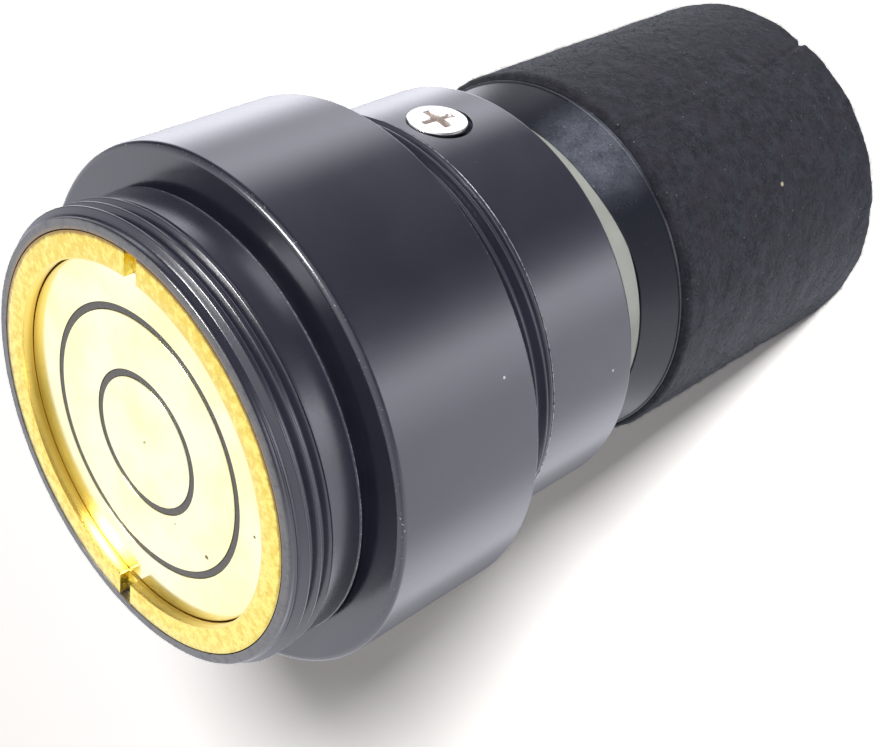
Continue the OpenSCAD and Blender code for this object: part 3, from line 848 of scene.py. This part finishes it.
def feltSpot(t, v, seam):
    # a point of the sleeve's outer face: azimuth in radians, share of the height
    s = feltSizes
    # arc is the distance from the seam, which leans a little
    drift = math.radians(s["drift"]) * min(v * 3, 1)
    arc = ((t - seam - drift + math.pi) % (2 * math.pi) - math.pi) * s["outer"]
    x, y = math.cos(t) * s["outer"], math.sin(t) * s["outer"]
    # both edges waver, and one end of the sheet stands back at the seam
    low = s["low"] + 0.16 * ripple(x, y, 0, 0.45, 3) + 0.07 * ripple(x, y, 0, 1.9, 9)
    low += s["step"] * math.exp(-abs(arc) / 1.6) * (arc > 0)
    high = s["high"] + 0.06 * ripple(x, y, 5, 0.5, 4) - 0.05
    z = low + (high - low) * v
    r = s["outer"] + 0.075 * ripple(x, y, z, 0.5, 1) + 0.035 * ripple(x, y, z, 1.7, 2)
    r += 0.012 * ripple(x, y, z, 4.5, 6)
    # the seam is a groove, deepest at the lower edge, with a low side
    up = z - s["low"]
    depth = 0.03 + 0.09 * math.exp(-(up / 9) ** 2) + 0.3 * math.exp(-up / 0.8)
    r -= depth * math.exp(-(arc / 0.16) ** 2) - 0.05 * math.exp(-((arc - 0.45) / 0.3) ** 2)
    # the edges are soft
    end = min(v, 1 - v) * (high - low)
    r -= 0.18 * math.exp(-(end / 0.12) ** 2)
    return r * math.cos(t), r * math.sin(t), z


def makeFelt():
    s = feltSizes
    seam = math.radians(s["seam"])
    # columns crowd at the seam, rows at the two edges
    even = np.arange(s["columns"]) / s["columns"] * 2 * math.pi
    angles = seam + np.sort(np.mod(even - s["crowd"] * np.sin(even), 2 * math.pi))
    rows = [0.0, 0.004, 0.012, 0.02, *np.linspace(0.03, 0.97, s["rows"]), 0.98, 0.988, 0.996, 1.0]
    n = len(angles)
    spots = [feltSpot(t, v, seam) for v in rows for t in angles]
    outer = len(spots)
    for first in (outer - n, 0):
        spots += [(s["inner"] * math.cos(t), s["inner"] * math.sin(t), spots[first + k][2])
                  for k, t in enumerate(angles)]
    rings = len(rows) + 2
    faces = []
    for i in range(rings):
        a, b = i * n, ((i + 1) % rings) * n
        faces += [(a + k, a + (k + 1) % n, b + (k + 1) % n, b + k) for k in range(n)]
    made = solid("felt", spots, faces, None, 80)
    storeValues(made.data, "outer", [1.0] * outer + [0.0] * (len(spots) - outer))
    return made


feltPiece = makeFelt()


def napTree():
    # short fibres that lie on the felt in every direction, a few of them standing up
    g, given = startTree("feltNap", [("Felt", "Geometry"), ("Density", "Float"), ("Length", "Float"),
                                     ("Thickness", "Float"), ("Seed", "Int"), ("Fibre", "Material")], "Nap")
    outer = g.node("GeometryNodeInputNamedAttribute", {"data_type": "FLOAT"}, {"Name": "outer"})
    spread = g.node("GeometryNodeDistributePointsOnFaces", None, {
        "Mesh": given.out("Felt"), "Selection": outer > 0.9, "Density": given.out("Density"),
        "Seed": given.out("Seed")})
    # one bent fibre, as long as 1
    line = g.node("GeometryNodeCurveQuadraticBezier", None, {
        "Resolution": 4, "Start": (0.0, 0.0, -0.02), "Middle": (0.12, 0.0, 0.55), "End": (0.0, 0.1, 1.0)})
    line = g.node("GeometryNodeResampleCurve", {"mode": "COUNT"}, {"Curve": line, "Count": 3})
    ring = g.node("GeometryNodeCurvePrimitiveCircle", None,
                  {"Resolution": 3, "Radius": given.out("Thickness")})
    fibre = g.node("GeometryNodeCurveToMesh", None,
                   {"Curve": line, "Profile Curve": ring, "Fill Caps": False})
    length = given.out("Length")
    sized = g.node("GeometryNodeTransform", None,
                   {"Geometry": fibre, "Scale": g.joined(length, length, length)})

    def chance(low, high, seed):
        return g.node("FunctionNodeRandomValue", {"data_type": "FLOAT"},
                      {2: low, 3: high, "Seed": seed}, out=1)

    lean, swing, grow = chance(0.7, 1.62, 11), chance(0.0, 6.283, 12), chance(0.45, 1.25, 13)
    turned = g.node("FunctionNodeRotateRotation", {"rotation_space": "LOCAL"},
                    {0: spread.out("Rotation"), 1: g.joined(lean, 0.0, swing)})
    placed = g.node("GeometryNodeInstanceOnPoints", None, {
        "Points": spread, "Instance": sized, "Rotation": turned, "Scale": grow})
    plain = g.node("GeometryNodeRealizeInstances", None, {"Geometry": placed})
    # no fibre reaches below the floor
    x, y, z = g.parts(g.node("GeometryNodeInputPosition"))
    kept = g.node("GeometryNodeSetPosition", None,
                  {"Geometry": plain, "Position": g.joined(x, y, z.most(0.03 * mm))})
    g.finish("NodeGroupOutput",
             g.node("GeometryNodeSetMaterial", None, {"Geometry": kept, "Material": given.out("Fibre")}))
    return g.tree


def makeNap():
    s = feltSizes
    copy = addObject("napBase", feltPiece.data.copy())
    grow = copy.modifiers.new("nap", "NODES")
    grow.node_group = napTree()
    setInputs(grow, {"Density": s["fibres"] * 1e6, "Length": s["fibreLength"] * mm,
                     "Thickness": s["fibreThick"] / s["fibreLength"], "Seed": 4, "Fibre": felt.material})
    return dress(baked(copy, "felt_nap"), felt, slot="felt")


dress(feltPiece, felt, "felt_sleeve", slot="felt")
nap = makeNap()
for piece in (feltPiece, nap):
    if "outer" in piece.data.attributes:
        piece.data.attributes.remove(piece.data.attributes["outer"])
print("felt made:", len(nap.data.polygons), "fibre faces")


# finishes of the inner pieces

def simpleMetal(name, colour, roughness, scale=3.0):
    f = Finish(name, Metallic=1.0)
    grain = f.noise(scale, 4, 0.6)
    f.set(Base_Color=f.mix(grain.ramp(0.3, 0.7), colour, tuple(c * 0.8 for c in colour)),
          Roughness=roughness + (grain - 0.5) * 0.15)
    f.bump(grain, 0.2, 0.02)
    return f


def simpleMatte(name, colour, roughness, scale, depth):
    f = Finish(name)
    grain = f.noise(scale, 4, 0.6)
    f.set(Base_Color=f.mix(grain.ramp(0.3, 0.7), colour, tuple(c * 1.5 for c in colour)),
          Roughness=roughness + (grain - 0.5) * 0.12)
    f.bump(grain, 0.4, depth)
    return f


def stripes(along, pitch):
    # a sine wave along one direction, its pitch in millimetres
    return (along * (2 * math.pi / pitch)).calc("SINE")


def wovenGauze():
    look = {"gap": (0.008, 0.008, 0.009), "wire": (0.07, 0.07, 0.078), "pitch": 0.32}
    f = Finish("wovenGauze", Roughness=0.6)
    weave = stripes(f.x, look["pitch"]).most(stripes(f.y, look["pitch"]))
    f.set(Base_Color=f.mix(weave.ramp(-0.2, 0.8), look["gap"], look["wire"]))
    f.bump(weave, 0.6, 0.05)
    return f


def woundCopper():
    look = {"gap": (0.35, 0.13, 0.05), "wire": (0.72, 0.34, 0.16), "pitch": 0.12}
    f = Finish("woundCopper", Metallic=0.85)
    wound = stripes(f.z, look["pitch"])
    f.set(Base_Color=f.mix(wound.ramp(-1, 1), look["gap"], look["wire"]), Roughness=0.32 + f.noise(2) * 0.1)
    f.bump(wound, 0.5, 0.02)
    return f


# the solids of the pieces that no side shows stay as they are and get a finish
inner = {
    "contact_pins": brass, "housing": cupFinish, "front_cap": cupFinish, "front_gauze": wovenGauze(),
    "clamp_ring": simpleMetal("clampMetal", (0.6, 0.61, 0.63), 0.35),
    "diaphragm": simpleMatte("diaphragmFilm", (0.62, 0.6, 0.5), 0.25, 1.2, 0.01),
    "voice_coil": woundCopper(),
    "pole_piece": simpleMetal("poleSteel", (0.62, 0.63, 0.65), 0.3),
    "magnet": simpleMetal("magnetPlate", (0.7, 0.71, 0.74), 0.22, 5),
    "yoke": simpleMetal("yokeZinc", (0.6, 0.62, 0.66), 0.38, 2),
    "damping_disc": simpleMatte("dampingFelt", (0.2, 0.19, 0.17), 0.95, 4, 0.08),
    "terminal_board": simpleMatte("terminalBoard", (0.2, 0.13, 0.05), 0.5, 2, 0.02),
    "terminal_tabs": bright,
}
for name, finish in inner.items():
    nodes[name].data.materials.clear()
    nodes[name].data.materials.append(finish.material)
print("inner pieces dressed")


# floor, world and lights

# floorShown is the floor's colour as the camera sees it under the low key light; past farFrom the light falls
# off, and the floor fades to plain white up to farTo, in millimetres
stage = {"floorSize": 6.0, "floorShown": (2.1, 2.08, 2.07), "farFrom": 220, "farTo": 420,
         "ambient": (0.125, 0.122, 0.12), "white": (1.0, 1.0, 1.0)}


def makeFloor():
    half = stage["floorSize"] / 2
    mesh = bpy.data.meshes.new("floor")
    corners = [(-half, -half, 0), (half, -half, 0), (half, half, 0), (-half, half, 0)]
    mesh.from_pydata(corners, [], [(0, 1, 2, 3)])
    floor = addObject("floor", mesh)
    f = Finish("floorWhite", Roughness=0.9, Specular_IOR_Level=0.1)
    f.set(Base_Color=f.mix(f.noise(0.05), (0.86, 0.855, 0.85), (0.88, 0.875, 0.87)))
    # the camera sees the lit floor as plain white and its shadow as a grey
    lit = f.node("ShaderNodeBsdfDiffuse", None, {"Color": (*stage["floorShown"], 1)})
    plain = f.node("ShaderNodeEmission", None, {"Color": (*stage["white"], 1), "Strength": 1.0})
    far = f.radius().ramp(stage["farFrom"], stage["farTo"])
    seen = f.node("ShaderNodeMixShader", None, {0: far, 1: lit, 2: plain})
    both = f.node("ShaderNodeMixShader", None, {0: f.node("ShaderNodeLightPath"), 2: seen})
    f.tree.links.new(f.shader.outputs[0], both.socket.node.inputs[1])
    f.tree.links.new(both.socket, f.output.inputs["Surface"])
    mesh.materials.append(f.material)
    floor.visible_glossy = False


makeFloor()

# what glossy rays see round the object, as (azimuth in degrees, brightness): below the horizon, round it,
# half way up, and one window; under and top are even all round
surround = {
    "low": [(-180, 0.7), (-171, 1.85), (-151, 2.0), (-131, 1.3), (-111, 1.5), (-91, 1.6), (-66, 2.95),
            (-54, 1.1), (-45, 0.4), (-31, 0.15), (-11, 0.21), (9, 0.3), (29, 0.33), (49, 2.6), (69, 1.2),
            (89, 2.9), (109, 1.5), (129, 0.7), (149, 0.15), (165, 0.35), (180, 0.7)],
    "belt": [(-180, 1.1), (-140, 1.3), (-120, 1.4), (-103, 1.25), (-85, 0.55), (-67, 0.2), (-40, 0.08),
             (80, 0.08), (100, 0.6), (112, 1.2), (165, 1.2), (180, 1.1)],
    "brow": [(-180, 1.4), (-152, 1.3), (-125, 0.95), (-100, 0.6), (-55, 0.8), (-30, 0.95), (-19, 1.0),
             (-2, 1.3), (12, 1.1), (20, 0.95), (35, 0.65), (51, 0.52), (67, 0.5), (90, 0.9), (110, 1.25),
             (150, 1.25), (180, 1.4)],
    "window": [(-180, 0), (-22, 0), (-14, 7), (-8, 14), (8, 14), (14, 7), (22, 0), (180, 0)],
    "under": 0.4, "top": 1.03, "most": 14.0, "tint": (1.0, 1.01, 1.1),
}


def makeWorld():
    world = bpy.data.worlds.new("studio")
    bpy.context.scene.world = world
    world.use_nodes = True
    world.node_tree.nodes.clear()
    g = Graph(world.node_tree)
    x, y, z = g.parts(g.node("ShaderNodeTexCoord").out("Generated"))
    turn = y.calc("ARCTAN2", x) / (2 * math.pi) + 0.5
    most = surround["most"]

    def ring(name):
        stops = [((a + 180) / 360, (b / most, b / most, b / most, 1)) for a, b in surround[name]]
        return g.node("ShaderNodeValToRGB", {"stops": stops}, {0: turn}) * most

    # the window shows only in what is mirrored twice, as in the corner of the brass ring
    ray = g.node("ShaderNodeLightPath")
    window = ring("window") * (ray.out("Ray Depth") > 2.5) * z.ramp(0.1, 0.2) * z.ramp(0.75, 0.65)
    # from the top down, each ring fades into the next
    brow, belt, low = ring("brow"), ring("belt"), ring("low")
    glossy = brow + window + (surround["top"] - brow) * z.ramp(0.68, 0.85)
    glossy = belt + (glossy - belt) * z.ramp(0.12, 0.26)
    glossy = low + (glossy - low) * z.ramp(-0.48, -0.26)
    glossy = glossy + (surround["under"] - glossy) * z.ramp(-0.78, -0.93)
    tinted = g.node("ShaderNodeCombineColor", None, {i: glossy * t for i, t in enumerate(surround["tint"])})
    seen = g.mix(ray.out("Is Glossy Ray"), stage["ambient"], tinted)
    seen = g.mix(ray.out("Is Camera Ray"), seen, stage["white"])
    g.finish("ShaderNodeOutputWorld", g.node("ShaderNodeBackground", None, {0: seen, 1: 1.0}))


makeWorld()


# turn and rise in degrees, far and size in metres, power in watts; the key makes light and shadow,
# the glint is the lamp that the polished edges mirror
lamps = {
    "key": {"turn": -26, "rise": 28, "far": 2.5, "size": (0.36, 0.36), "power": 57,
            "colour": (1.0, 0.985, 0.97)},
    "glint": {"turn": 25, "rise": 58, "far": 1.5, "size": (0.6, 0.2), "power": 28,
              "colour": (1.0, 0.99, 0.97)},
}


def makeLamp(name):
    sizes = lamps[name]
    lamp = bpy.data.lights.new(name, "AREA")
    lamp.shape, lamp.energy, lamp.color = "RECTANGLE", sizes["power"], sizes["colour"]
    lamp.size, lamp.size_y = sizes["size"]
    made = addObject(name, lamp)
    a, e = math.radians(sizes["turn"]), math.radians(sizes["rise"])
    aim = Vector((0, 0, 0.03))
    way = Vector((math.cos(a) * math.cos(e), math.sin(a) * math.cos(e), math.sin(e)))
    made.location = aim + way * sizes["far"]
    made.rotation_euler = (aim - made.location).to_track_quat("-Z", "Y").to_euler()
    made.visible_camera = False
    made.visible_glossy = name == "glint"
    made.visible_diffuse = name == "key"


for name in lamps:
    makeLamp(name)
bpy.context.scene.view_settings.view_transform = "Standard"
print("stage set")
